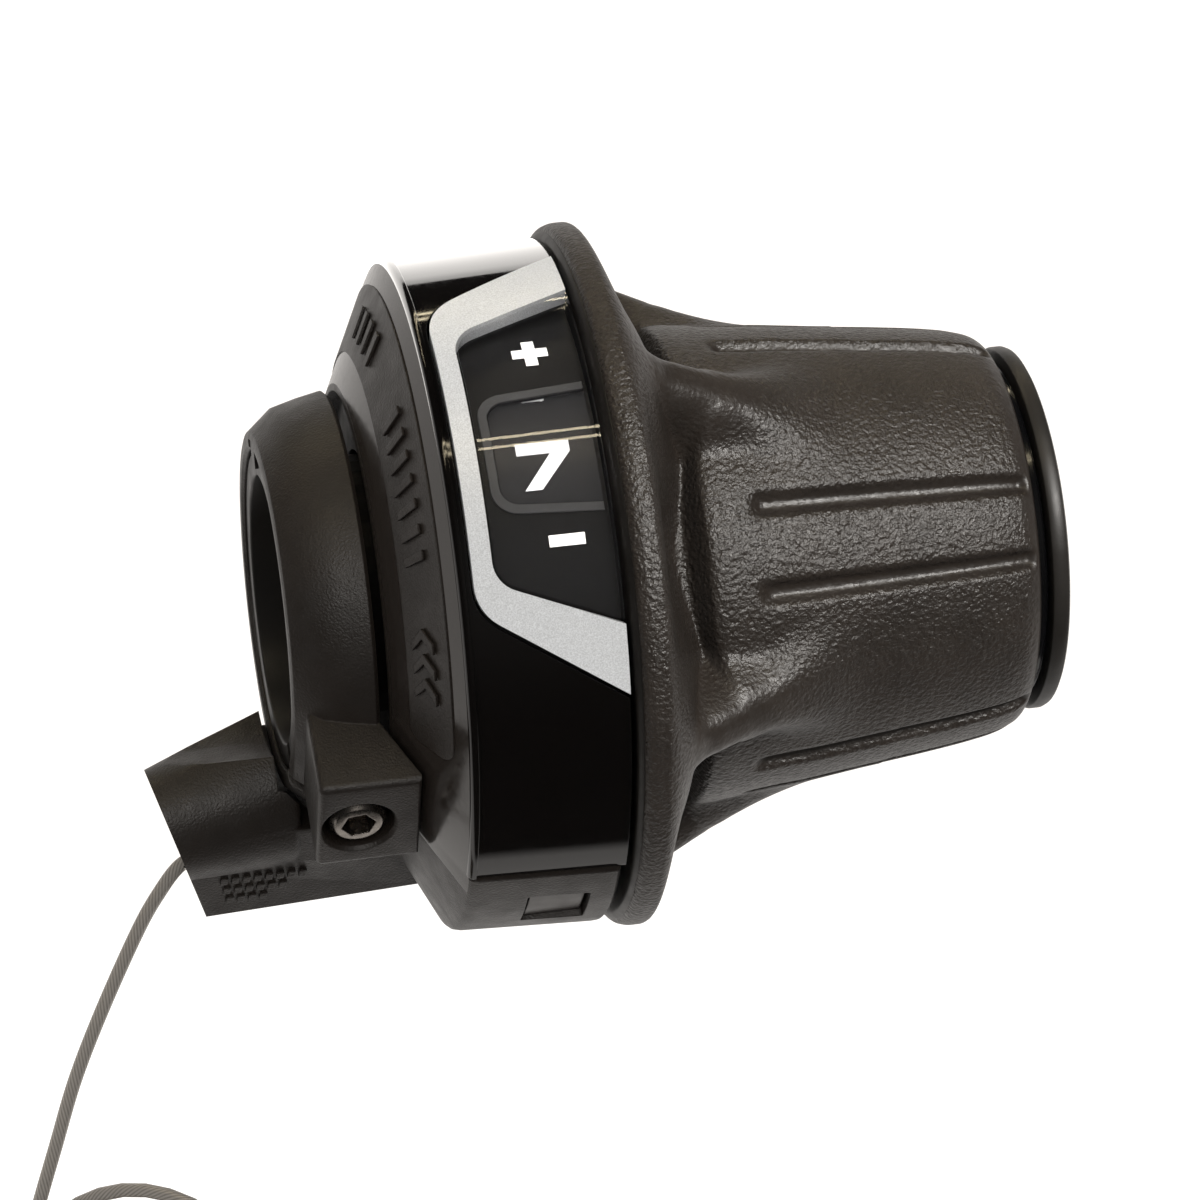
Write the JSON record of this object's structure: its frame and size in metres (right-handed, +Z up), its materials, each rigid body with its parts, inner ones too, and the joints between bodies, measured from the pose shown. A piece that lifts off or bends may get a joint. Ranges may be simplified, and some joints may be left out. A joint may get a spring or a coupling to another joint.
{
  "type": "twist-grip shifter",
  "caption": "Rotary twist-grip gear shifter with bar clamp, number window, ribbed rubber grip, geared cable drum and a bare inner cable.",
  "frame": {"origin": "centre of the handlebar bore at the clamp ring's outer (inboard) face", "axes": "+X along the handlebar from the clamp to the free end of the grip, +Z up, -Y toward the rider's side with the number window"},
  "size_m": [0.0923, 0.059, 0.1047],
  "materials": {
    "housing_plastic": "fine spark-eroded texture, matt",
    "dark_plastic": "satin moulded",
    "gloss_black": "high gloss",
    "silver_trim": "fine silver metallic paint, satin",
    "clear_lens": "clear, polished",
    "smoke_pane": "smoky, polished",
    "dial_black": "satin black print base",
    "white_nylon": "natural nylon, satin",
    "grip_rubber": "fine leather-like grain, matt",
    "bright_steel": "zinc plated",
    "black_steel": "black oxide",
    "wire_steel": "drawn strand"
  },
  "bodies": {
    "housing": {"main_housing": "housing_plastic", "clamp_ring": "housing_plastic", "clamp_screw": "black_steel", "pressure_shoe": "bright_steel", "bar_collar": "dark_plastic", "front_cover": "gloss_black", "indicator_bezel": "silver_trim", "indicator_lens": "clear_lens", "dial_mask": "dial_black", "number_pane": "smoke_pane", "cover_latch": "gloss_black", "cover_screw_1": "bright_steel", "cover_screw_2": "bright_steel", "detent_spring": "bright_steel", "inner_sleeve": "dark_plastic", "sun_gear": "white_nylon", "end_disc": "dark_plastic", "thrust_washer": "gloss_black", "inner_cable": "wire_steel", "shift_cable": "wire_steel", "cable_coil": "wire_steel"},
    "grip": {"grip_core": "dark_plastic", "ring_gear": "white_nylon", "rubber_grip": "grip_rubber", "number_ring": "dial_black", "detent_ring": "white_nylon"},
    "drum": {"cable_drum": "white_nylon", "planet_pin_1": "bright_steel", "planet_pin_2": "bright_steel", "planet_pin_3": "bright_steel", "cable_head": "bright_steel", "cable_turn": "wire_steel"},
    "planet_1": {"planet_gear_1": "white_nylon"},
    "planet_2": {"planet_gear_2": "white_nylon"},
    "planet_3": {"planet_gear_3": "white_nylon"}
  },
  "joints": [
    {"name": "grip_twist", "type": "hinge", "parent": "housing", "child": "grip", "pos_m": [0.045, 0, 0], "axis": [1, 0, 0], "range_deg": [0, 105]},
    {"name": "drum_turn", "type": "hinge", "parent": "housing", "child": "drum", "pos_m": [0.016, 0, 0], "axis": [1, 0, 0], "range_deg": [0, 64.2]},
    {"name": "planet_1_spin", "type": "hinge", "parent": "drum", "child": "planet_1", "pos_m": [0.022, -0.01749, 0], "axis": [1, 0, 0], "range_deg": [0, 224.7]},
    {"name": "planet_2_spin", "type": "hinge", "parent": "drum", "child": "planet_2", "pos_m": [0.022, 0.00874, 0.01514], "axis": [1, 0, 0], "range_deg": [0, 224.7]},
    {"name": "planet_3_spin", "type": "hinge", "parent": "drum", "child": "planet_3", "pos_m": [0.022, 0.00874, -0.01514], "axis": [1, 0, 0], "range_deg": [0, 224.7]}
  ],
  "couplings": [
    {"joint": "drum_turn", "follows": "grip_twist", "ratio": 0.61111},
    {"joint": "planet_1_spin", "follows": "grip_twist", "ratio": 2.1389},
    {"joint": "planet_2_spin", "follows": "grip_twist", "ratio": 2.1389},
    {"joint": "planet_3_spin", "follows": "grip_twist", "ratio": 2.1389}
  ]
}
